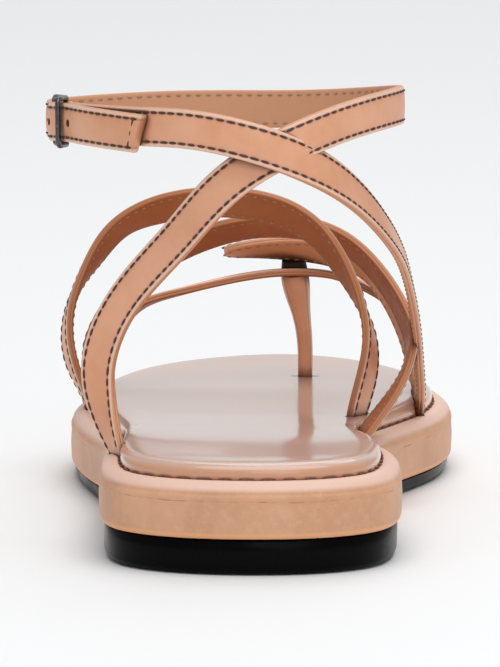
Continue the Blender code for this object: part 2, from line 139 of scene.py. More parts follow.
def sole_outline():
    """The sole's edge as a closed loop: heel tip, medial side, toe tip, lateral side."""
    medial = [(row[2], row[0]) for row in SOLE_EDGE]
    lateral = [(row[1], row[0]) for row in SOLE_EDGE]
    loop = [HEEL_TIP] + medial + [TOE_TIP] + lateral[::-1]
    rounds = np.array(loop * 3 + [HEEL_TIP], float)
    knots = chord_knots(rounds)
    heel = knots[len(loop)]
    toe = knots[len(loop) + len(medial) + 1]
    next_heel = knots[2 * len(loop)]
    inner = np.linspace(heel, toe, SIDE_STEPS + 1)
    outer = np.linspace(toe, next_heel, SIDE_STEPS + 1)
    return natural_spline(knots, rounds, np.concatenate([inner, outer[1:-1]]))


OUTLINE = sole_outline()
OUTLINE_TANGENT = unit(np.roll(OUTLINE, -1, axis=0) - np.roll(OUTLINE, 1, axis=0))
OUTLINE_INWARD = np.stack([-OUTLINE_TANGENT[:, 1], OUTLINE_TANGENT[:, 0]], axis=1)
platform_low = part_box("midsole")[0]
SHOE_ORIGIN = Vector((platform_low[0] - OUTLINE[:, 0].min() * MM, platform_low[1], 0.0))


def place(point):
    """A point in the shoe's own millimetres as a place in the frame."""
    return Vector(point) * MM + SHOE_ORIGIN


def toe_spring(y):
    """How far the toe is lifted off the floor at y."""
    part = np.clip((y - SPRING_START) / (SOLE_LENGTH - SPRING_START), 0, None)
    return SPRING_RISE * part ** 2


def seat_height(y):
    """Height of the outsole's top, which falls from the heel to the ball."""
    part = np.clip((y - SEAT_SLOPE[0]) / (SEAT_SLOPE[1] - SEAT_SLOPE[0]), 0, 1)
    ease = part * part * (3 - 2 * part)
    return HEEL_SEAT + (BALL_SEAT - HEEL_SEAT) * ease + toe_spring(y)


def inset_loop(inset):
    """The sole's edge moved inward, as x and y."""
    return OUTLINE + OUTLINE_INWARD * np.reshape(inset, (-1, 1))


def add_object(name, data):
    item = bpy.data.objects.new(name, data)
    bpy.context.scene.collection.objects.link(item)
    return item


def mesh_piece(name, shape):
    """Make an object of a shape, shaded smooth but for its sharp edges."""
    mesh = bpy.data.meshes.new(name)
    shape.to_mesh(mesh)
    shape.free()
    mesh.shade_smooth()
    mesh.set_sharp_from_angle(angle=math.radians(SMOOTH_ANGLE))
    return add_object(name, mesh)


def solid_piece(name, shape):
    """Make an object of a closed shape, with its faces turned outward."""
    bmesh.ops.recalc_face_normals(shape, faces=shape.faces)
    return mesh_piece(name, shape)


def skin(shape, rings):
    """Join each ring of corners to the next with four-sided faces."""
    for first, second in zip(rings, rings[1:]):
        for i in range(len(first)):
            after = (i + 1) % len(first)
            shape.faces.new((first[i], first[after], second[after], second[i]))


def loft_sole(name, rings):
    """Join sole loops from the bottom to the top and close both ends with strips across."""
    shape = bmesh.new()
    loops = [[shape.verts.new(place(point)) for point in ring] for ring in rings]
    skin(shape, loops)
    for loop in (loops[0], loops[-1]):
        for i in range(SIDE_STEPS):
            corners = (loop[i], loop[i + 1], loop[-i - 1], loop[-i % len(loop)])
            shape.faces.new(tuple(dict.fromkeys(corners)))
    return solid_piece(name, shape)


def evaluated_mesh(item):
    """The mesh that an object's curve or its modifiers make."""
    evaluated = item.evaluated_get(bpy.context.evaluated_depsgraph_get())
    return bpy.data.meshes.new_from_object(evaluated)


def settle(piece):
    """Turn a piece with modifiers into a plain mesh."""
    mesh = evaluated_mesh(piece)
    piece.modifiers.clear()
    piece.data = mesh
    return piece


def cut(piece, cutters, solver):
    """Cut other objects out of a piece."""
    for other in cutters:
        step = piece.modifiers.new(other.name, "BOOLEAN")
        step.operation = "DIFFERENCE"
        step.object = other
        step.solver = solver
    settle(piece)
    piece.data.set_sharp_from_angle(angle=math.radians(SMOOTH_ANGLE))


def discard(pieces):
    for piece in pieces:
        bpy.data.objects.remove(piece)


def put_on(piece, material, slot, *nodes):
    """Give a piece its finish, hang it under the root body and hide the solids it stands for."""
    piece.data.materials.clear()
    piece.data.materials.append(material)
    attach(piece, "root")
    if nodes:
        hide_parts(*nodes)


class Finish:
    """A material with a short way to add and link its nodes."""

    def __init__(self, name, **sockets):
        self.material = bpy.data.materials.new(name)
        self.material.use_nodes = True
        self.tree = self.material.node_tree
        self.surface = self.tree.nodes["Principled BSDF"]
        self.where = self.add("ShaderNodeTexCoord").outputs["Object"]
        self.shade(**sockets)

    def feed(self, socket, value):
        """Give a socket its value, or a link where the value is another node's output."""
        if isinstance(value, bpy.types.NodeSocket):
            self.tree.links.new(value, socket)
        else:
            socket.default_value = value

    def set(self, node, **sockets):
        """Feed sockets by name, with spaces written as underscores."""
        for name, value in sockets.items():
            self.feed(node.inputs[name.replace("_", " ")], value)

    def shade(self, **sockets):
        """Feed sockets of the surface itself."""
        self.set(self.surface, **sockets)

    def add(self, kind, properties=None, **sockets):
        node = self.tree.nodes.new(kind)
        for name, value in (properties or {}).items():
            setattr(node, name, value)
        self.set(node, **sockets)
        return node

    def noise(self, scale, detail=4.0, roughness=0.55):
        node = self.add("ShaderNodeTexNoise", Vector=self.where, Scale=scale, Detail=detail,
                        Roughness=roughness)
        return node.outputs["Fac"]

    def attribute(self, name):
        """A value that the mesh keeps at each point."""
        return self.add("ShaderNodeAttribute", {"attribute_name": name}).outputs["Fac"]

    def cells(self, scale):
        """Leather's pores: the distance from each cell's middle."""
        node = self.add("ShaderNodeTexVoronoi", Vector=self.where, Scale=scale)
        return node.outputs["Distance"]

    def math(self, operation, first, second=0.0):
        node = self.add("ShaderNodeMath", {"operation": operation})
        for socket, value in zip(node.inputs, (first, second)):
            self.feed(socket, value)
        return node.outputs["Value"]

    def band(self, value, low, high, out_low=0.0, out_high=1.0):
        """Map a value between two limits with a soft start and end."""
        node = self.add("ShaderNodeMapRange", {"interpolation_type": "SMOOTHSTEP"}, Value=value,
                        From_Min=low, From_Max=high, To_Min=out_low, To_Max=out_high)
        return node.outputs["Result"]

    def mix(self, share, first, second):
        node = self.add("ShaderNodeMix", {"data_type": "RGBA"})
        for index, value in zip(COLOUR_MIX_INPUTS, (share, first, second)):
            self.feed(node.inputs[index], value)
        return node.outputs[COLOUR_MIX_OUTPUT]

    def closed_in(self, reach):
        """How far the pieces that lie within reach close a point in, from none to one, for painting
        shade.
        """
        node = self.add("ShaderNodeAmbientOcclusion", {"samples": CLOSED_IN_SAMPLES},
                        Distance=reach * MM)
        return self.math("SUBTRACT", 1.0, node.outputs["AO"])

    def bump(self, height, strength, distance, after=None):
        node = self.add("ShaderNodeBump", Height=height, Strength=strength, Distance=distance)
        if after is not None:
            self.set(node, Normal=after)
        return node.outputs["Normal"]


def rubber_finish():
    """Polished black rubber with a faint moulding texture and dusty patches of lower gloss."""
    rubber = Finish("black_rubber", Base_Color=RUBBER_BLACK, Specular_IOR_Level=0.06)
    cloud = rubber.noise(60.0)
    rubber.shade(Roughness=rubber.band(cloud, 0.3, 0.7, 0.16, 0.30))
    grain = rubber.noise(1500.0, detail=2.0)
    swell = rubber.noise(90.0, detail=2.0)
    soft = rubber.bump(swell, 0.25, 0.0006)
    rubber.shade(Normal=rubber.bump(grain, 0.06, 0.0001, soft))
    return rubber.material


def make_outsole():
    rings = []
    for inset, height in OUTSOLE_FOOT:
        flat = inset_loop(inset)
        rings.append(np.column_stack([flat, toe_spring(flat[:, 1]) + height]))
    for inset, share in OUTSOLE_WALL:
        flat = inset_loop(inset)
        floor = toe_spring(flat[:, 1])
        rings.append(np.column_stack([flat, floor + (seat_height(flat[:, 1]) - floor) * share]))
    outsole = loft_sole("outsole_rubber", rings)
    profile = bmesh.new()
    reach = 2 * max(row[2] for row in SOLE_EDGE)
    face = profile.faces.new([profile.verts.new(place((-reach, y, z))) for y, z in WAIST_ARCH])
    swept = bmesh.ops.extrude_face_region(profile, geom=[face])
    moved = [item for item in swept["geom"] if isinstance(item, bmesh.types.BMVert)]
    bmesh.ops.translate(profile, verts=moved, vec=(2 * reach * MM, 0, 0))
    arch = solid_piece("waist_arch", profile)
    cut(outsole, [arch], "EXACT")
    discard([arch])
    return outsole


put_on(make_outsole(), rubber_finish(), "outsole", "outsole")


# Platform: a firm midsole wrapped in grained tan leather that is pulled over the top edge.
# The wrap makes a straight wall, a crease under the shoulder and a domed margin.

PLATFORM_WRAP = (
    # inset from the sole's edge, height over the outsole
    (1.6, 0.3),
    (0.7, 0.35),
    (0.15, 0.9),
    (-0.05, 2.2),
    (-0.15, 5.5),
    (-0.05, 9.0),
    (0.05, 10.1),
    (0.42, 10.62),
    (0.48, 10.9),
    (0.5, 11.2),
    (0.85, 11.85),
    (1.4, 12.45),
    (2.1, 13.0),
    (2.9, 13.4),
    (3.7, 13.5),
    (4.4, 13.42),
    (4.85, 13.3),
)
WALL_RINGS = 64
CREASE_MIDDLE = 10.75
CREASE_REACH = 0.7
CREASE_WANDER = 0.22
CREASE_LEAST = -0.4
CREASE_LIFT = 0.12
WANDER_SEED = 2.0
WANDER_WAVES = (3, 7, 13, 22, 31)
LIFT_SEED = 5.0
LIFT_WAVES = (5, 11, 17)
WAVE_SHIFT = 1.7
SHOULDER_HIGHLIGHT_LEVELS = (10.7, 12.2)
RIM_LEVELS = (2.0, 1.1)
MARK_LEVEL = 9.0
MARK_WANDER = 1.2
MARK_HALF = 0.20
WALL_SHADE_REACH = 3.0
WALL_TAN = (0.715, 0.390, 0.232, 1.0)
WALL_TAN_DEEP = (0.590, 0.305, 0.170, 1.0)
WALL_TAN_PALE = (0.770, 0.480, 0.330, 1.0)
SHOULDER_PAINTED_HIGHLIGHT = (0.810, 0.560, 0.465, 1.0)
WALL_RIM = (0.860, 0.430, 0.205, 1.0)
WALL_MARK = (0.300, 0.130, 0.070, 1.0)
WALL_SHADE = (0.220, 0.075, 0.032, 1.0)


def edge_wander(seed, waves):
    """A slow, closed, hand-made unevenness round the sole's edge, from minus one to one."""
    turn = np.linspace(0, 2 * math.pi, len(OUTLINE), endpoint=False)
    total = np.zeros(len(OUTLINE))
    for step, wave in enumerate(waves):
        total += np.sin(wave * turn + seed * (step + WAVE_SHIFT)) / (step + 1)
    return total / np.abs(total).max()


def smooth_profile(rows, count):
    """Evenly spread points on the smooth line through a table's rows."""
    table = np.array(rows)
    knots = chord_knots(table)
    return natural_spline(knots, table, np.linspace(0, knots[-1], count))


def over_seat(flat, rise):
    """A loop of x and y, raised over the outsole's top."""
    return np.column_stack([flat, seat_height(flat[:, 1]) + rise])


def make_platform():
    wander = np.clip(edge_wander(WANDER_SEED, WANDER_WAVES), CREASE_LEAST, 1)
    lift = edge_wander(LIFT_SEED, LIFT_WAVES)
    rings = []
    for inset, height in smooth_profile(PLATFORM_WRAP, WALL_RINGS):
        near = math.exp(-((height - CREASE_MIDDLE) / CREASE_REACH) ** 2)
        flat = inset_loop(inset + CREASE_WANDER * near * wander)
        rings.append(over_seat(flat, height + CREASE_LIFT * near * lift))
    return loft_sole("platform_wrap", rings)


def wall_leather_finish():
    """Fine-grained tan leather: mottled, with a painted highlight over the shoulder, a bright lower
    rim, a broken line of small dark marks under the shoulder, and painted shade in the groove and
    where other pieces close it in."""
    leather = Finish("wall_leather", Specular_IOR_Level=0.32, Coat_Weight=0.10, Coat_Roughness=0.28)
    rise = leather.attribute("rise")
    blotch = leather.noise(38.0, detail=5.0, roughness=0.6)
    speck = leather.noise(420.0, detail=3.0, roughness=0.7)
    tone = leather.mix(leather.band(blotch, 0.32, 0.7), WALL_TAN_DEEP, WALL_TAN)
    tone = leather.mix(leather.band(speck, 0.45, 0.75, 0.0, 0.35), tone, WALL_TAN_PALE)
    # Painted highlight: paler pink over the shoulder, where the overhead light falls.
    tone = leather.mix(leather.band(rise, *SHOULDER_HIGHLIGHT_LEVELS, 0.0, 0.88), tone, SHOULDER_PAINTED_HIGHLIGHT)
    tone = leather.mix(leather.band(rise, *RIM_LEVELS, 0.0, 0.8), tone, WALL_RIM)
    # A broken line of small dark marks under the shoulder.
    wander = leather.math("SUBTRACT", leather.noise(45.0), 0.5)
    wander = leather.math("MULTIPLY", wander, MARK_WANDER)
    from_mark = leather.math("SUBTRACT", leather.math("ADD", rise, wander), MARK_LEVEL)
    line = leather.band(leather.math("ABSOLUTE", from_mark), MARK_HALF, 0.02)
    broken = leather.band(leather.noise(170.0), 0.48, 0.66, 0.06, 0.8)
    tone = leather.mix(leather.math("MULTIPLY", line, broken), tone, WALL_MARK)
    # Painted shade: darker in the groove and where other pieces close the leather in.
    shade = leather.band(leather.closed_in(WALL_SHADE_REACH), 0.45, 0.8, 0.0, 0.85)
    tone = leather.mix(shade, tone, WALL_SHADE)
    leather.shade(Base_Color=tone)
    leather.shade(Roughness=leather.band(speck, 0.3, 0.7, 0.40, 0.56))
    pores = leather.bump(leather.cells(1500.0), 0.22, 0.00012)
    folds = leather.bump(leather.noise(260.0, detail=4.0), 0.20, 0.0003, pores)
    leather.shade(Normal=folds)
    return leather.material


platform = make_platform()
put_on(platform, wall_leather_finish(), "platform", "midsole")


# Footbed: a thin cushion covered in smooth polished leather, set inside the platform's margin.
# Its edge is rolled under, and its top is brushed to a soft sheen.

FOOTBED_EDGE = (
    # inset from the sole's edge, height over the outsole
    (5.6, 13.4),
    (5.1, 13.46),
    (4.95, 13.8),
    (4.9, 14.6),
    (5.05, 15.5),
    (5.5, 16.2),
    (6.3, 16.75),
    (7.4, 17.08),
    (9.0, 17.2),
    (11.5, 17.15),
    (14.0, 17.05),
    (17.0, 16.95),
    (19.5, 16.9),
)
FOOTBED_RINGS = 44
FOOTBED_SWELLS = (
    # y of a soft ridge across the footbed, its half length, its height
    (34.0, 15.0, 0.10),
    (70.0, 14.0, -0.16),
    (104.0, 12.0, 0.12),
    (136.0, 16.0, -0.14),
    (168.0, 11.0, 0.12),
    (196.0, 12.0, -0.10),
)
SWELL_FADE = (8.0, 16.0)
ROLLED_LEVELS = (16.5, 15.7)
FOOTBED_TAN = (0.600, 0.400, 0.325, 1.0)
FOOTBED_TAN_DEEP = (0.545, 0.340, 0.262, 1.0)
FOOTBED_RIM = (0.640, 0.330, 0.195, 1.0)


def footbed_swell(y, inset):
    """Soft ridges and hollows across the footbed, fading out toward its rolled edge."""
    fade = np.clip((inset - SWELL_FADE[0]) / (SWELL_FADE[1] - SWELL_FADE[0]), 0, 1)
    total = 0.0
    for middle, half, height in FOOTBED_SWELLS:
        total += height * np.exp(-((y - middle) / half) ** 2)
    return fade * total


def make_footbed():
    rings = []
    for inset, height in smooth_profile(FOOTBED_EDGE, FOOTBED_RINGS):
        flat = inset_loop(inset)
        rings.append(over_seat(flat, height + footbed_swell(flat[:, 1], inset)))
    return loft_sole("footbed_cover", rings)


def footbed_finish():
    """Smooth polished leather with a clear, slightly uneven gloss."""
    leather = Finish("footbed_leather", Specular_IOR_Level=0.5, Coat_Weight=1.0, Coat_Roughness=0.12)
    cloud = leather.noise(26.0, detail=5.0, roughness=0.6)
    tone = leather.mix(leather.band(cloud, 0.3, 0.72), FOOTBED_TAN_DEEP, FOOTBED_TAN)
    rolled = leather.band(leather.attribute("rise"), *ROLLED_LEVELS)
    leather.shade(Base_Color=leather.mix(rolled, tone, FOOTBED_RIM))
    leather.shade(Roughness=leather.band(cloud, 0.3, 0.7, 0.30, 0.42))
    pores = leather.bump(leather.cells(1900.0), 0.10, 0.00006)
    folds = leather.bump(leather.noise(120.0, detail=3.0), 0.10, 0.0003, pores)
    leather.shade(Normal=folds)
    return leather.material


footbed = make_footbed()
put_on(footbed, footbed_finish(), "footbed", "insole")


# Straps: bands of tan leather on a thin lining, with dyed edges, sewn but for the toe strap.
# Their roots go down through slits between the platform's margin and the footbed.

STRAP_HALF = 4.6
STRAP_THICKNESS = 2.0
CLEARANCE = 0.3
RING_STEP = 1.1
SEAM_INSET = 1.15
HALF_SECTION = (
    # in from the strap's edge, out from its middle: the outer face, the edge and the inner face
    (STRAP_HALF, 1.14),
    (3.4, 1.12),
    (2.3, 1.06),
    (1.6, 0.98),
    (1.35, 0.88),
    (SEAM_INSET, 0.84),
    (0.95, 0.88),
    (0.72, 0.95),
    (0.42, 0.92),
    (0.16, 0.74),
    (0.03, 0.42),
    (0.0, 0.05),
    (0.13, -0.10),
    (0.02, -0.25),
    (0.05, -0.60),
    (0.25, -0.88),
    (0.6, -0.98),
    (SEAM_INSET, -0.94),
    (1.7, -1.0),
    (STRAP_HALF, -1.0),
)
BACK_STRAP = (
    # x, y, z, aim, rise
    (35.6, 156.0, 10.5, 0, 0),
    (36.6, 151.0, 18.0, 0, 5),
    (36.9, 130.0, 34.6, 0, 8),
    (36.0, 110.0, 47.6, -2, 13),
    (33.7, 85.0, 62.4, -12, 20),
    (30.1, 62.0, 73.0, -28, 27),
    (23.9, 45.0, 82.6, -44, 28),
    (14.4, 31.5, 91.0, -62, 19),
    (1.0, 24.4, 97.2, -86, 5),
    (-12.9, 26.5, 100.2, -112, 0),
    (-26.9, 36.5, 100.2, -135, 0),
    (-38.5, 50.0, 99.5, -152, 0),
    (-46.5, 66.0, 98.6, -165, 0),
)
ANKLE_STRAP = (
    # x, y, z, aim, rise; the buckle's passage and the tail are added to it
    (-29.6, 43.0, 13.0, -174, 0),
    (-31.4, 44.0, 18.0, -170, -8),
    (-33.9, 46.5, 24.0, -156, -10),
    (-37.0, 51.0, 32.0, -132, -6),
    (-38.3, 53.0, 40.0, -122, -2),
    (-36.9, 52.5, 47.5, -121, 2),
    (-32.4, 49.5, 56.8, -123, 5),
    (-18.9, 39.0, 73.5, -116, 5),
    (-2.6, 27.2, 90.8, -94, 3),
    (10.4, 29.2, 97.8, -68, 0),
    (22.6, 42.0, 101.6, -40, 0),
    (33.0, 66.0, 102.7, 0, 0),
    (26.0, 88.0, 100.5, 50, 0),
    (9.0, 100.0, 98.6, 80, 0),
    (-12.0, 103.0, 98.2, 100, 0),
    (-32.0, 96.0, 98.2, 130, 0),
)
INSTEP_STRAP = (
    # x, y, z, aim, rise
    (-45.2, 157.0, 10.5, 182, -10),
    (-47.0, 157.0, 18.0, 188, -15),
    (-50.4, 155.0, 26.6, 198, -8),
    (-52.0, 153.0, 35.0, 196, 5),
    (-50.2, 150.0, 45.8, 180, 14),
    (-45.4, 146.0, 54.9, 158, 25),
    (-38.9, 142.0, 63.8, 138, 32),
    (-29.6, 138.0, 69.1, 115, 33),
    (-17.8, 134.0, 71.8, 97, 33),
    (-6.2, 130.0, 72.0, 88, 33),
    (4.2, 128.0, 69.6, 70, 33),
    (11.7, 126.0, 65.0, 50, 31),
    (18.0, 124.0, 56.9, 30, 24),
    (22.9, 122.0, 47.5, 6, 14),
    (25.0, 120.5, 39.2, -12, 5),
    (24.2, 119.5, 29.8, -26, -5),
    (21.6, 119.0, 19.5, -24, -12),
    (20.4, 119.0, 10.5, -20, -12),
)
CROSS_STRAP = (
    # x, y, z, aim, rise
    (-43.9, 162.5, 10.5, 180, 0),
    (-45.2, 162.5, 17.0, 180, -5),
    (-46.9, 161.0, 32.3, 172, 12),
    (-40.6, 160.5, 43.4, 150, 30),
    (-33.0, 160.0, 51.5, 128, 40),
    (-17.7, 158.0, 60.2, 102, 50),
    (-1.2, 153.0, 64.0, 88, 51),
    (17.4, 146.0, 61.0, 58, 45),
    (26.6, 139.0, 53.7, 38, 32),
    (33.0, 130.0, 44.8, 24, 15),
    (35.2, 122.0, 38.4, 18, 2),
    (33.4, 113.0, 31.6, 18, -12),
    (28.6, 105.0, 24.5, 22, -22),
    (23.2, 98.5, 18.0, 22, -25),
    (19.4, 94.5, 12.5, 22, -25),
)
TOE_STRAP = (
    # x, y, z, aim, rise
    (-43.2, 174.0, 10.5, 180, 0),
    (-44.4, 174.0, 17.0, 178, 5),
    (-43.6, 174.0, 30.0, 162, 28),
    (-36.0, 176.5, 40.0, 132, 66),
    (-25.0, 181.0, 43.7, 110, 78),
    (-8.0, 187.0, 47.0, 95, 82),
    (4.0, 190.0, 47.8, 88, 82),
    (16.0, 189.0, 46.8, 75, 81),
    (25.0, 184.5, 43.5, 52, 74),
    (32.0, 179.0, 37.5, 30, 50),
    (36.0, 175.5, 27.0, 10, 14),
    (37.0, 174.5, 17.0, 0, 0),
    (36.4, 174.0, 10.5, 0, 0),
)
TAB_STRAP = (
    # x, y, z, aim, rise; it starts at its rounded free end
    (-13.8, 186.0, 53.6, 98, 72),
    (-5.4, 187.0, 54.3, 94, 60),
    (3.5, 187.0, 54.3, 88, 50),
    (12.5, 184.0, 53.7, 75, 42),
    (19.7, 180.0, 52.1, 60, 36),
    (24.5, 174.5, 49.3, 45, 30),
    (29.0, 168.5, 44.2, 30, 20),
    (33.0, 163.5, 35.8, 16, 8),
    (35.4, 161.5, 25.0, 5, 0),
    (36.2, 161.5, 17.0, 0, 0),
    (35.6, 161.5, 10.5, 0, 0),
)
WIRE_RADIUS = 0.65
FRAME_LENGTH = 8.2
KEEPER_LENGTH = 7.0
TAIL_LIFT = 2.5
FOLD_THICKNESS = 1.1
SLEEVE_RADIUS = WIRE_RADIUS + CLEARANCE + FOLD_THICKNESS
BUCKLE_PASSAGE = (
    # along, out: the ankle strap passes under the front bar and over the centre bar
    (16.0, -1.9),
    (FRAME_LENGTH + 0.6, -WIRE_RADIUS - CLEARANCE - STRAP_THICKNESS / 2 - 0.3),
    (FRAME_LENGTH / 2 - 0.4, 0.7),
    (0.0, SLEEVE_RADIUS + CLEARANCE + STRAP_THICKNESS / 2 + 0.1),
)
TAIL_ON_BACK_STRAP = (
    # distance back along the back strap, out, drop
    (KEEPER_LENGTH, TAIL_LIFT, 0.0),
    (14.0, 2.4, 0.2),
    (24.0, 2.4, 0.7),
    (37.5, 2.4, 1.5),
)
TIP_STEPS = (0.02, 0.12, 0.3, 0.55, 0.85)
END_SLANT = 0.36
SLANT_REACH = 9.0
FOLD_OVERLAP = 1.3
SLIT_REACH = 26.0
SEAM_ACROSS = STRAP_HALF - SEAM_INSET
LIP_HIGHLIGHT_REACH = (SEAM_ACROSS, STRAP_HALF - 0.7)
DYED_REACH = (STRAP_HALF - 0.30, STRAP_HALF - 0.08)
LINING_LEVELS = (-0.3, -0.8)
PAINTED_SHADOW_LEVELS = (-1.4, -1.8)
STRAP_SHADE_REACH = 5.0
STRAP_TAN = (0.810, 0.408, 0.252, 1.0)
STRAP_TAN_DEEP = (0.715, 0.325, 0.172, 1.0)
STRAP_LIP_PAINTED_HIGHLIGHT = (0.860, 0.590, 0.450, 1.0)
STRAP_EDGE = (0.600, 0.255, 0.120, 1.0)
SEAM_PAINTED_SHADE = (0.300, 0.110, 0.055, 1.0)
ANKLE_LINING = (0.600, 0.320, 0.190, 1.0)
# Painted shade: the forefoot straps' lining is a deep brown and their dyed edges darker, for the
# shade under the instep.
FOOT_LINING_PAINTED_SHADE = (0.350, 0.102, 0.032, 1.0)
FOOT_EDGE_PAINTED_SHADE = (0.460, 0.165, 0.062, 1.0)
TAB_LINING = (0.660, 0.300, 0.150, 1.0)
STRAP_SHADE = (0.140, 0.045, 0.018, 1.0)
POST_TOP_PAINTED_SHADOW = (0.030, 0.013, 0.010, 1.0)


def strap_frames(rows, rounded_tip=False):
    """Points along a strap's middle, with its direction, its outer face and its width direction."""
    table = np.array(rows, float)
    knots = chord_knots(table[:, :3])
    places = np.linspace(0.0, knots[-1], round(knots[-1] / RING_STEP) + 1)
    if rounded_tip:
        places = np.concatenate([TIP_STEPS, places[1:]])
    read = natural_spline(knots, table, places)
    points = read[:, :3]
    along = unit(np.gradient(points, places, axis=0))
    aim, rise = np.radians(read[:, 3:]).T
    facing = np.stack([np.cos(rise) * np.cos(aim), np.cos(rise) * np.sin(aim), np.sin(rise)], axis=1)
    facing = unit(facing - along * np.sum(facing * along, axis=1, keepdims=True))
    half = np.full(len(places), STRAP_HALF)
    if rounded_tip:
        half = np.sqrt(half ** 2 - np.clip(half - places, 0, None) ** 2)
    return {"places": places, "points": points, "along": along, "out": facing,
            "across": np.cross(facing, along), "half": half, "slant": np.zeros(len(places))}


def cut_short(frames, first, last):
    """The stretch of a strap between two distances along it."""
    keep = (frames["places"] >= first) & (frames["places"] <= last)
    return {key: values[keep].copy() for key, values in frames.items()}


def slant_end(frames):
    """Skew a strap's end, which is cut at an angle."""
    from_end = frames["places"][-1] - frames["places"]
    frames["slant"] = END_SLANT * np.clip(1 - from_end / SLANT_REACH, 0, 1)


def on_strap(frames, ring, across, level):
    """A point on a strap's ring, across from its middle and out from it."""
    point = frames["points"][ring] + frames["out"][ring] * level
    return point + (frames["across"][ring] + frames["along"][ring] * frames["slant"][ring]) * across


def section_loop(half_section):
    """A strap's whole section from one half: its place across and out, as a closed loop."""
    right = [(STRAP_HALF - inward, out) for inward, out in half_section]
    left = [(-across, out) for across, out in right[-2:0:-1]]
    return right + left


def marked_shape():
    """An empty shape, and where its corners keep their place across a strap and out from it."""
    shape = bmesh.new()
    layers = shape.verts.layers.float
    return shape, layers.new("across"), layers.new("out")


def swept_piece(name, shape, rings):
    """Join the rings of a shape, close both ends and make an object of it."""
    skin(shape, rings)
    shape.faces.new(rings[0])
    shape.faces.new(rings[-1])
    return solid_piece(name, shape)


def strap_piece(name, frames, section):
    """Sweep a section along a strap, keeping each corner's place on the strap."""
    shape, across_layer, out_layer = marked_shape()
    rings = []
    for step, half in enumerate(frames["half"]):
        ring = []
        for across, level in section:
            narrow = across * half / STRAP_HALF
            corner = shape.verts.new(place(on_strap(frames, step, narrow, level)))
            corner[across_layer] = across
            corner[out_layer] = level
            ring.append(corner)
        rings.append(ring)
    return swept_piece(name, shape, rings)


def buckle_axes():
    """The back strap's end: its middle and the directions along, across and out."""
    frames = strap_frames(BACK_STRAP)
    return tuple(frames[key][-1] for key in ("points", "along", "across", "out"))


def on_buckle(point):
    """A point in the buckle's own axes, along, across and out, in the shoe's millimetres."""
    middle, along, across, out = buckle_axes()
    return middle + along * point[0] + across * point[1] + out * point[2]


def facing_angles(out):
    """Aim and rise of a direction, with the aim counted on past the front of the ankle."""
    aim = math.degrees(math.atan2(out[1], out[0])) % 360
    return aim, math.degrees(math.asin(out[2]))


def ankle_strap_rows():
    """The ankle strap's stations through the buckle and on to its tail over the back strap."""
    outward = facing_angles(buckle_axes()[-1])
    rows = list(ANKLE_STRAP)
    for ahead, lift in BUCKLE_PASSAGE:
        rows.append((*on_buckle((ahead, 0.0, lift)), *outward))
    frames = strap_frames(BACK_STRAP)
    from_end = frames["places"][-1] - frames["places"]
    for back, lift, drop in TAIL_ON_BACK_STRAP:
        read = {key: np.array([np.interp(back, from_end[::-1], frames[key][::-1, axis])
                               for axis in range(3)]) for key in ("points", "out")}
        spot = read["points"] + read["out"] * lift - np.array((0, 0, drop))
        rows.append((*spot, *facing_angles(unit(read["out"]))))
    return rows


def mark_rise(piece):
    """Keep each point's rise over the outsole's top for the finish."""
    layer = piece.data.attributes.new("rise", "FLOAT", "POINT")
    for corner, mark in zip(piece.data.vertices, layer.data):
        spot = (corner.co - SHOE_ORIGIN) / MM
        mark.value = spot.z - seat_height(spot.y)


def make_slit(name, rows):
    """The room that a strap's root takes in the sole, clear of the strap on every side."""
    slit = cut_short(strap_frames(rows), 0.0, SLIT_REACH)
    slit["points"][0] -= slit["along"][0] * CLEARANCE
    half = STRAP_HALF + CLEARANCE
    thick = STRAP_THICKNESS / 2 + CLEARANCE
    corners = [(half, thick), (half, -thick), (-half, -thick), (-half, thick)]
    return strap_piece(name, slit, corners)


def strap_finish(name, lining_colour, edge_colour):
    """Smooth tan leather: painted shade along the seams, a painted highlight on the lips outside
    them, dyed edges, a matt lining, painted shade where other pieces close it in, and a painted
    shadow at the toe post's top."""
    leather = Finish(name, Coat_Roughness=0.26)
    across = leather.math("ABSOLUTE", leather.attribute("across"))
    out = leather.attribute("out")
    leather.shade(Coat_Weight=leather.band(out, *LINING_LEVELS, 0.22, 0.0))
    leather.shade(Specular_IOR_Level=leather.band(out, *LINING_LEVELS, 0.45, 0.15))
    cloud = leather.noise(55.0, detail=5.0)
    tone = leather.mix(leather.band(cloud, 0.3, 0.7), STRAP_TAN_DEEP, STRAP_TAN)
    # Painted highlight on the raised lips outside the seams.
    tone = leather.mix(leather.band(across, *LIP_HIGHLIGHT_REACH, 0.0, 0.8), tone, STRAP_LIP_PAINTED_HIGHLIGHT)
    # Painted shade of the thread along each seam.
    from_seam = leather.math("ABSOLUTE", leather.math("SUBTRACT", across, SEAM_ACROSS))
    tone = leather.mix(leather.band(from_seam, 0.5, 0.1, 0.0, 0.4), tone, SEAM_PAINTED_SHADE)
    lining = leather.mix(leather.band(cloud, 0.3, 0.7, 0.0, 0.15), lining_colour, STRAP_TAN_DEEP)
    tone = leather.mix(leather.band(out, *LINING_LEVELS), tone, lining)
    tone = leather.mix(leather.band(across, *DYED_REACH, 0.0, 0.9), tone, edge_colour)
    # Painted shade: darker where other pieces lie close, at overlaps, roots and under the tail.
    shade = leather.band(leather.closed_in(STRAP_SHADE_REACH), 0.12, 0.5, 0.0, 0.9)
    tone = leather.mix(shade, tone, STRAP_SHADE)
    # Painted shadow: near black on the toe post's top, between the toe strap and the tab.
    tone = leather.mix(leather.band(out, *PAINTED_SHADOW_LEVELS), tone, POST_TOP_PAINTED_SHADOW)
    leather.shade(Base_Color=tone)
    leather.shade(Roughness=leather.band(leather.noise(300.0), 0.3, 0.7, 0.38, 0.52))
    pores = leather.bump(leather.cells(1700.0), 0.14, 0.0001)
    folds = leather.bump(leather.noise(380.0, detail=4.0), 0.14, 0.0002, pores)
    leather.shade(Normal=folds)
    return leather.material


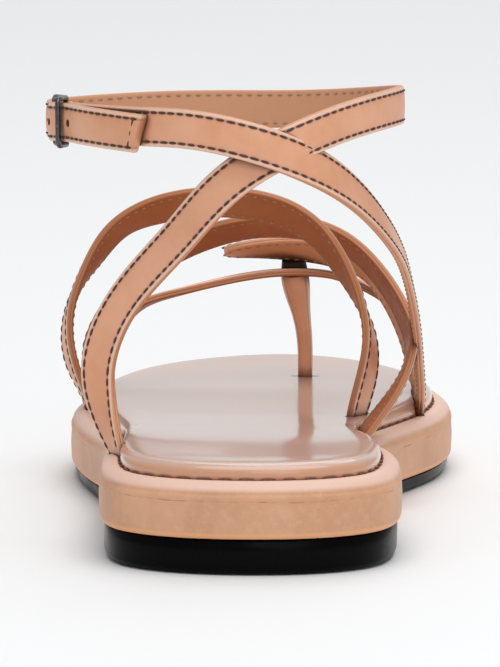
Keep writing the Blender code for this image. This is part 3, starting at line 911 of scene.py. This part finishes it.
STRAP_ROWS = {
    "back_strap": BACK_STRAP,
    "ankle_strap": ankle_strap_rows(),
    "instep_strap": INSTEP_STRAP,
    "cross_strap": CROSS_STRAP,
    "toe_strap": TOE_STRAP,
    "tab_strap": TAB_STRAP,
}
ROUND_TIPPED = "tab_strap"
FREE_ENDS = {"back_strap": 1, "ankle_strap": 1, "tab_strap": 0}
strap_section = section_loop(HALF_SECTION)
ankle_leather = strap_finish("ankle_leather", ANKLE_LINING, STRAP_EDGE)
# The forefoot straps' finish, with painted shade in its lining and edges.
foot_leather_painted_shade = strap_finish("foot_leather_painted_shade", FOOT_LINING_PAINTED_SHADE, FOOT_EDGE_PAINTED_SHADE)
tab_leather = strap_finish("tab_leather", TAB_LINING, STRAP_EDGE)
OTHER_FINISHES = {
    "back_strap": ankle_leather,
    "ankle_strap": ankle_leather,
    "tab_strap": tab_leather,
}
straps = {}
slits = []
for strap_name, strap_rows in STRAP_ROWS.items():
    straps[strap_name] = strap_frames(strap_rows, rounded_tip=strap_name == ROUND_TIPPED)
    for end, ordered in enumerate((strap_rows, strap_rows[::-1])):
        if end != FREE_ENDS.get(strap_name):
            slits.append(make_slit(f"{strap_name}_slit_{end}", ordered))
back_length = straps["back_strap"]["places"][-1]
straps["back_strap"] = cut_short(straps["back_strap"], 0.0, back_length - FOLD_OVERLAP)
slant_end(straps["ankle_strap"])
leather_straps = {name: strap_piece(name, frames, strap_section) for name, frames in straps.items()}


# Toe post: strap leather rolled into a stem with a seam down its back, which comes up through
# a short slit in the footbed and is sewn in between the toe strap and the tab.

TOE_POST = (
    # x, y, z, radius
    (6.9, 194.0, 12.0, 1.8),
    (6.9, 194.0, 20.0, 1.85),
    (6.75, 193.6, 30.0, 2.0),
    (5.7, 192.3, 38.1, 2.6),
    (4.5, 190.9, 45.5, 3.6),
    (4.0, 189.6, 51.2, 3.0),
)
POST_RINGS = 48
POST_SIDES = 36
POST_SEAM_TURN = math.radians(238)
POST_SEAM_WIDTH = 0.16
POST_SEAM_DEPTH = 0.16
POST_SLIT = (7.2, 1.0, 9.0)
# Above this height the post gets a painted shadow, where it passes between the toe strap and the tab.
POST_SHADOW_FROM = 47.6
PAINTED_SHADOW_MARK = -2.0


def make_post(name, growth=0.0):
    """The stem, or with some growth the room that it takes in the sole. Its points are marked like
    a strap's: the dyed edges run down its two sides, and its top is marked for a painted shadow."""
    table = np.array(TOE_POST)
    knots = chord_knots(table[:, :3])
    places = np.linspace(-growth, knots[-1], POST_RINGS)
    read = natural_spline(knots, table, places)
    along = unit(np.gradient(read[:, :3], places, axis=0))
    side = unit(np.cross(np.array((0.0, 1.0, 0.0)), along))
    ahead = np.cross(along, side)
    turns = np.linspace(0, 2 * math.pi, POST_SIDES, endpoint=False)
    seam = 0.0 if growth else POST_SEAM_DEPTH
    shape, across_layer, out_layer = marked_shape()
    rings = []
    for step, radius in enumerate(read[:, 3]):
        ring = []
        for turn in turns:
            from_seam = (turn - POST_SEAM_TURN) / POST_SEAM_WIDTH
            reach = radius + growth - seam * math.exp(-from_seam ** 2)
            offset = side[step] * math.cos(turn) + ahead[step] * math.sin(turn)
            corner = shape.verts.new(place(read[step, :3] + offset * reach))
            corner[across_layer] = math.cos(turn) * STRAP_HALF
            corner[out_layer] = PAINTED_SHADOW_MARK if read[step, 2] > POST_SHADOW_FROM else 1.0
            ring.append(corner)
        rings.append(ring)
    return swept_piece(name, shape, rings)


def box_piece(name, middle, size, turn=Matrix()):
    """A box round a point in the shoe's own millimetres."""
    shape = bmesh.new()
    scale = Matrix.Diagonal((*(Vector(size) * MM), 1.0))
    bmesh.ops.create_cube(shape, size=1.0, matrix=Matrix.Translation(place(middle)) @ turn @ scale)
    return mesh_piece(name, shape)


put_on(make_post("toe_post"), foot_leather_painted_shade, "straps", "upper")
slits.append(make_post("toe_post_room", CLEARANCE))
slits.append(box_piece("toe_post_slit", TOE_POST[1][:3], POST_SLIT))
for cushion in (platform, footbed):
    cut(cushion, slits, "MANIFOLD")
    mark_rise(cushion)
discard(slits)


# Buckle: a bowed frame of gunmetal wire with a centre bar, which the back strap's end is folded
# round, and a prong hinged there that passes through a punched hole in the ankle strap.

FRAME_CORNER = 1.4
CORNER_STEPS = 9
FRAME_PLAY = 0.32
FRAME_HALF_WIDTH = STRAP_HALF + FRAME_PLAY + WIRE_RADIUS
KEEPER_PLAY = 0.4
KEEPER_RISE = TAIL_LIFT + STRAP_THICKNESS / 2 + KEEPER_PLAY + WIRE_RADIUS
PRONG_RADIUS = 0.5
PRONG_REACH = 0.3
PRONG_PLAY = 0.25
PRONG_LOOP = WIRE_RADIUS + PRONG_PLAY + PRONG_RADIUS
PRONG_TURN = (330, 90, 25)
NOTCH_WIDTH = 2.2
HOLE_RADIUS = 0.95
HOLES_BEHIND_BAR = (3.6, 12.6)
ROUND_SIDES = 32
WIRE_ROUNDNESS = 5
WELD_DISTANCE = 1e-6
FOLD_ROUNDING = 0.35
GUNMETAL = (0.105, 0.105, 0.115, 1.0)
GUNMETAL_WORN = (0.300, 0.290, 0.280, 1.0)


def wire(name, points, radius, cyclic=False):
    """A round wire along the points, closed at its ends, as a mesh."""
    data = bpy.data.curves.new(name, "CURVE")
    data.dimensions = "3D"
    data.bevel_depth = MM
    data.bevel_resolution = WIRE_ROUNDNESS
    data.use_fill_caps = True
    path = data.splines.new("POLY")
    path.points.add(len(points) - 1)
    path.use_cyclic_u = cyclic
    for target, point in zip(path.points, points):
        target.co = (*place(point), 1.0)
        target.radius = radius
    stem = add_object(name + "_path", data)
    shape = bmesh.new()
    shape.from_mesh(evaluated_mesh(stem))
    discard([stem])
    bmesh.ops.remove_doubles(shape, verts=shape.verts, dist=WELD_DISTANCE)
    return solid_piece(name, shape)


def frame_path():
    """The frame's wire: flat in front of the centre bar, and bent up behind it over the tail."""
    front = FRAME_LENGTH - FRAME_CORNER
    rear = FRAME_CORNER - KEEPER_LENGTH
    points = []
    for middle, side, start in ((front, 1, 0), (rear, 1, 90), (rear, -1, 180), (front, -1, 270)):
        for turn in np.radians(np.linspace(start, start + 90, CORNER_STEPS)):
            along = middle + FRAME_CORNER * math.cos(turn)
            across = side * (FRAME_HALF_WIDTH - FRAME_CORNER) + FRAME_CORNER * math.sin(turn)
            points.append((along, across, max(0.0, -along) * KEEPER_RISE / KEEPER_LENGTH))
        if middle * side > 0:
            points.append((0.0, side * FRAME_HALF_WIDTH, 0.0))
    return [on_buckle(point) for point in points]


def prong_path():
    """The prong from under the centre bar, round it and forward on to the front bar."""
    turns = np.radians(np.linspace(*PRONG_TURN))
    points = [(PRONG_LOOP * math.cos(turn), 0.0, PRONG_LOOP * math.sin(turn)) for turn in turns]
    rest = WIRE_RADIUS + CLEARANCE + PRONG_RADIUS
    points.append((FRAME_LENGTH / 2, 0.0, PRONG_LOOP))
    points.append((FRAME_LENGTH + PRONG_REACH, 0.0, rest))
    return [on_buckle(point) for point in points]


def make_fold():
    """The back strap's end, folded round the centre bar."""
    inner = WIRE_RADIUS + CLEARANCE
    profile = (
        # across, distance from the bar's middle
        (-STRAP_HALF, inner),
        (-STRAP_HALF, SLEEVE_RADIUS - FOLD_ROUNDING),
        (FOLD_ROUNDING - STRAP_HALF, SLEEVE_RADIUS),
        (STRAP_HALF - FOLD_ROUNDING, SLEEVE_RADIUS),
        (STRAP_HALF, SLEEVE_RADIUS - FOLD_ROUNDING),
        (STRAP_HALF, inner),
    )
    shape = bmesh.new()
    rings = []
    for turn in np.linspace(0, 2 * math.pi, ROUND_SIDES, endpoint=False):
        ring = [(reach * math.cos(turn), across, reach * math.sin(turn)) for across, reach in profile]
        rings.append([shape.verts.new(place(on_buckle(point))) for point in ring])
    skin(shape, rings + rings[:1])
    return solid_piece("back_strap_fold", shape)


def make_notch():
    """A box at the bar's middle, as long and as high as the prong's loop."""
    middle, *axes = buckle_axes()
    turn = Matrix(axes).transposed().to_4x4()
    size = 2 * (PRONG_LOOP + PRONG_RADIUS + CLEARANCE)
    return box_piece("prong_notch", middle, (size, NOTCH_WIDTH, size), turn)


def make_punched_hole(name, back):
    """A round hole through the ankle strap, some way behind the centre bar along the strap."""
    frames = straps["ankle_strap"]
    bar = np.argmin(np.linalg.norm(frames["points"] - on_buckle((0, 0, 0)), axis=1))
    ring = np.argmin(np.abs(frames["places"] - frames["places"][bar] - back))
    ends = [on_strap(frames, ring, 0.0, level) for level in (-STRAP_THICKNESS, STRAP_THICKNESS)]
    return wire(name, ends, HOLE_RADIUS)


def gunmetal_finish():
    """Dark plated wire: fine scratches, with the plating rubbed thin in patches."""
    metal = Finish("gunmetal", Metallic=1.0)
    rub = metal.noise(700.0, detail=5.0, roughness=0.7)
    tone = metal.mix(metal.band(rub, 0.5, 0.8, 0.0, 0.6), GUNMETAL, GUNMETAL_WORN)
    metal.shade(Base_Color=tone)
    metal.shade(Roughness=metal.band(rub, 0.3, 0.7, 0.22, 0.38))
    metal.shade(Normal=metal.bump(metal.noise(2600.0, detail=2.0), 0.08, 0.00005))
    return metal.material


gunmetal = gunmetal_finish()
buckle_wire = wire("buckle_wire", frame_path(), WIRE_RADIUS, cyclic=True)
bar_ends = [on_buckle((0.0, side * FRAME_HALF_WIDTH, 0.0)) for side in (-1, 1)]
centre_bar = wire("centre_bar", bar_ends, WIRE_RADIUS)
join_bar = buckle_wire.modifiers.new("centre_bar", "BOOLEAN")
join_bar.operation = "UNION"
join_bar.object = centre_bar
settle(buckle_wire)
discard([centre_bar])
put_on(buckle_wire, gunmetal, "buckle", "buckle_frame")

prong_points = prong_path()
buckle_tongue = wire("buckle_tongue", prong_points, PRONG_RADIUS)
put_on(buckle_tongue, gunmetal, "buckle", "buckle_prong")

holes = [make_punched_hole(f"punched_hole_{back}", back) for back in HOLES_BEHIND_BAR]
holes.append(wire("prong_hole", prong_points[-3:], PRONG_RADIUS + CLEARANCE))
cut(leather_straps["ankle_strap"], holes, "MANIFOLD")
discard(holes)
fold = make_fold()
notch = make_notch()
cut(fold, [notch], "MANIFOLD")
cut(leather_straps["back_strap"], [notch], "MANIFOLD")
discard([notch])
put_on(fold, ankle_leather, "straps", "upper")
for strap_name, strap in leather_straps.items():
    put_on(strap, OTHER_FINISHES.get(strap_name, foot_leather_painted_shade), "straps", "upper")


# Thread: dark waxed thread along both edges of every strap but the toe strap, and across the
# ankle strap's tail, its paler underside on the linings, and longer red-brown stitches in the
# groove round the footbed.

STITCH_ROWS = {
    # pitch, length, width of the thread
    "strap_stitches": (2.6, 2.05, 0.50),
    "lining_stitches": (2.5, 1.30, 0.46),
    "groove_stitches": (5.0, 3.50, 0.66),
}
STITCH_LEVEL = 0.97
LINING_LEVEL = -0.97
TAIL_ROW_FROM_END = 1.7
TAIL_ROW_GAP = 0.9
PLAIN_STRAP = "toe_strap"
GROOVE_INSET = 4.6
GROOVE_HEIGHT = 13.55
ABOVE_MARGIN = 14.2
STITCH_SIDES = 8
STITCH_RINGS = 6
STITCH_RADIUS = 0.5
STITCH_UNEVEN = 0.12
THREAD_SEED = 7
THREADS = {
    # the waxed colour, the worn one
    "dark_thread": ((0.075, 0.030, 0.026, 1.0), (0.200, 0.100, 0.085, 1.0)),
    "red_thread": ((0.150, 0.048, 0.030, 1.0), (0.300, 0.130, 0.090, 1.0)),
    "brown_thread": ((0.360, 0.190, 0.120, 1.0), (0.550, 0.360, 0.270, 1.0)),
}


def thread_finish(name, colour, worn):
    """Waxed thread: its twist shows as a fine grain, and its wax has rubbed off in places."""
    thread = Finish(name, Specular_IOR_Level=0.35)
    twist = thread.noise(2400.0, detail=3.0, roughness=0.6)
    rubbed = thread.band(twist, 0.45, 0.8, 0.0, 0.7)
    thread.shade(Base_Color=thread.mix(rubbed, colour, worn))
    thread.shade(Roughness=thread.band(twist, 0.3, 0.7, 0.45, 0.65))
    thread.shade(Normal=thread.bump(twist, 0.3, 0.0001))
    return thread.material


def stitch_tree():
    """A node tree that lays one stitch after another along the lines of a mesh."""
    tree = bpy.data.node_groups.new("stitch_row", "GeometryNodeTree")
    tree.interface.new_socket("Lines", in_out="INPUT", socket_type="NodeSocketGeometry")
    for name in ("Pitch", "Stitch Length", "Thread Width"):
        tree.interface.new_socket(name, in_out="INPUT", socket_type="NodeSocketFloat")
    tree.interface.new_socket("Thread", in_out="INPUT", socket_type="NodeSocketMaterial")
    tree.interface.new_socket("Stitches", in_out="OUTPUT", socket_type="NodeSocketGeometry")
    make = tree.nodes.new
    link = tree.links.new
    given = make("NodeGroupInput").outputs
    spaced = make("GeometryNodeResampleCurve")
    spaced.mode = "LENGTH"
    heading = make("FunctionNodeAlignRotationToVector")
    heading.axis = "X"
    stitch = make("GeometryNodeMeshUVSphere")
    stitch.inputs["Segments"].default_value = STITCH_SIDES
    stitch.inputs["Rings"].default_value = STITCH_RINGS
    stitch.inputs["Radius"].default_value = STITCH_RADIUS
    size = make("ShaderNodeCombineXYZ")
    uneven = make("FunctionNodeRandomValue")
    uneven.inputs["Min"].default_value = 1 - STITCH_UNEVEN
    uneven.inputs["Max"].default_value = 1 + STITCH_UNEVEN
    uneven.inputs["Seed"].default_value = THREAD_SEED
    length = make("ShaderNodeMath")
    length.operation = "MULTIPLY"
    laid = make("GeometryNodeInstanceOnPoints")
    finish = make("GeometryNodeSetMaterial")
    link(given["Pitch"], spaced.inputs["Length"])
    link(make("GeometryNodeInputTangent").outputs["Tangent"], heading.inputs["Vector"])
    link(given["Stitch Length"], length.inputs[0])
    link(uneven.outputs["Value"], length.inputs[1])
    link(length.outputs["Value"], size.inputs["X"])
    link(given["Thread Width"], size.inputs["Y"])
    link(given["Thread Width"], size.inputs["Z"])
    link(stitch.outputs["Mesh"], laid.inputs["Instance"])
    link(heading.outputs["Rotation"], laid.inputs["Rotation"])
    link(size.outputs["Vector"], laid.inputs["Scale"])
    link(given["Thread"], finish.inputs["Material"])
    flow = given["Lines"]
    for node in (make("GeometryNodeMeshToCurve"), spaced, laid, make("GeometryNodeRealizeInstances"),
                 make("GeometryNodeSetShadeSmooth"), finish):
        link(flow, node.inputs[0])
        flow = node.outputs[0]
    link(flow, make("NodeGroupOutput").inputs["Stitches"])
    return tree


def sew(name, lines, thread, slot):
    """Lay a row of stitches along each line of points."""
    shape = bmesh.new()
    for points in lines:
        corners = [shape.verts.new(place(point)) for point in points]
        for first, second in zip(corners, corners[1:]):
            shape.edges.new((first, second))
    mesh = bpy.data.meshes.new(name)
    shape.to_mesh(mesh)
    shape.free()
    row = add_object(name, mesh)
    step = row.modifiers.new("stitches", "NODES")
    step.node_group = stitch_row
    pitch, length, width = (size * MM for size in STITCH_ROWS[name])
    values = {"Pitch": pitch, "Stitch Length": length, "Thread Width": width, "Thread": thread}
    for socket in stitch_row.interface.items_tree:
        if socket.name in values:
            step[socket.identifier] = values[socket.name]
    put_on(settle(row), thread, slot)


def seam_line(frames, side, level):
    """One edge's seam, from where the strap leaves the sole, at a level out from its middle."""
    line = []
    for ring, point in enumerate(frames["points"]):
        if point[2] > seat_height(point[1]) + ABOVE_MARGIN:
            seam = SEAM_ACROSS * frames["half"][ring] / STRAP_HALF
            line.append(on_strap(frames, ring, side * seam, level))
    return line


def edge_seams(sewn_straps, level):
    """The seams of both edges of every sewn strap."""
    return [seam_line(frames, side, level) for frames in sewn_straps.values() for side in (-1, 1)]


def tail_row(frames):
    """The seam across the ankle strap's tail."""
    ring = np.argmin(np.abs(frames["places"] - frames["places"][-1] + TAIL_ROW_FROM_END))
    reach = SEAM_ACROSS - TAIL_ROW_GAP
    return [on_strap(frames, ring, across, STITCH_LEVEL) for across in (reach, 0.0, -reach)]


def groove_line():
    """The closed line of the seam between the platform's margin and the footbed."""
    line = over_seat(inset_loop(GROOVE_INSET), GROOVE_HEIGHT)
    return np.concatenate([line, line[:1]])


stitch_row = stitch_tree()
threads = {name: thread_finish(name, *colours) for name, colours in THREADS.items()}
sewn = {name: frames for name, frames in straps.items() if name != PLAIN_STRAP}
tail_end = straps["ankle_strap"]["places"][-1] - TAIL_ROW_FROM_END
sewn["ankle_strap"] = cut_short(straps["ankle_strap"], 0.0, tail_end)
outer_seams = edge_seams(sewn, STITCH_LEVEL) + [tail_row(straps["ankle_strap"])]
sew("strap_stitches", outer_seams, threads["dark_thread"], "straps")
sew("lining_stitches", edge_seams(sewn, LINING_LEVEL), threads["brown_thread"], "straps")
sew("groove_stitches", [groove_line()], threads["red_thread"], "platform")


# Floor, light and camera: a pale studio floor under large soft lights, and the camera at the
# height and distance that show the shoe from straight behind and a little above.

FLOOR_PALE = (0.885, 0.895, 0.905, 1.0)
FLOOR_HALF = 8.0
FLOOR_DROP = 0.0002
WORLD_STRENGTH = 0.43
SOFT_LIGHTS = (
    # name, place, size, watts
    ("overhead_softbox", (0.25, -0.6, 2.1), 2.4, 31.0),
    ("camera_side_softbox", (0.6, -2.2, 0.9), 1.4, 6.0),
    ("backdrop_softbox", (0.0, 3.2, 0.9), 3.0, 7.0),
    ("far_softbox", (0.3, 2.4, 3.0), 2.6, 30.0),
)
CAMERA_PLACE = (54.0, -1461.0, 244.0)
CAMERA_AIM = (-0.0371, 1.0, -0.1285)
LENS = 347.9
SENSOR_WIDTH = 36.0
CAMERA_REACH = 50.0


def stand(name, data, spot, direction):
    """Put a light or the camera at a spot, looking along a direction."""
    item = add_object(name, data)
    item.location = spot
    item.rotation_euler = Vector(direction).to_track_quat("-Z", "Y").to_euler()
    return item


floor_shape = bmesh.new()
bmesh.ops.create_grid(floor_shape, x_segments=1, y_segments=1, size=FLOOR_HALF)
bmesh.ops.translate(floor_shape, verts=floor_shape.verts, vec=(0, 0, -FLOOR_DROP))
floor = mesh_piece("floor", floor_shape)
floor_paint = Finish("pale_floor", Base_Color=FLOOR_PALE, Roughness=0.65, Specular_IOR_Level=0.2)
floor.data.materials.append(floor_paint.material)

world = bpy.data.worlds.new("studio")
world.use_nodes = True
sky = world.node_tree.nodes["Background"].inputs
sky["Color"].default_value = (1, 1, 1, 1)
sky["Strength"].default_value = WORLD_STRENGTH
bpy.context.scene.world = world
bpy.context.scene.view_settings.view_transform = "Standard"

for light_name, spot, size, watts in SOFT_LIGHTS:
    light = bpy.data.lights.new(light_name, "AREA")
    light.shape = "DISK"
    light.size = size
    light.energy = watts
    lamp = stand(light_name, light, spot, -Vector(spot))
    lamp.visible_camera = False

camera = stand("camera", bpy.data.cameras.new("camera"), place(CAMERA_PLACE), CAMERA_AIM)
camera.data.sensor_width = SENSOR_WIDTH
camera.data.lens = LENS
camera.data.clip_end = CAMERA_REACH
bpy.context.scene.camera = camera
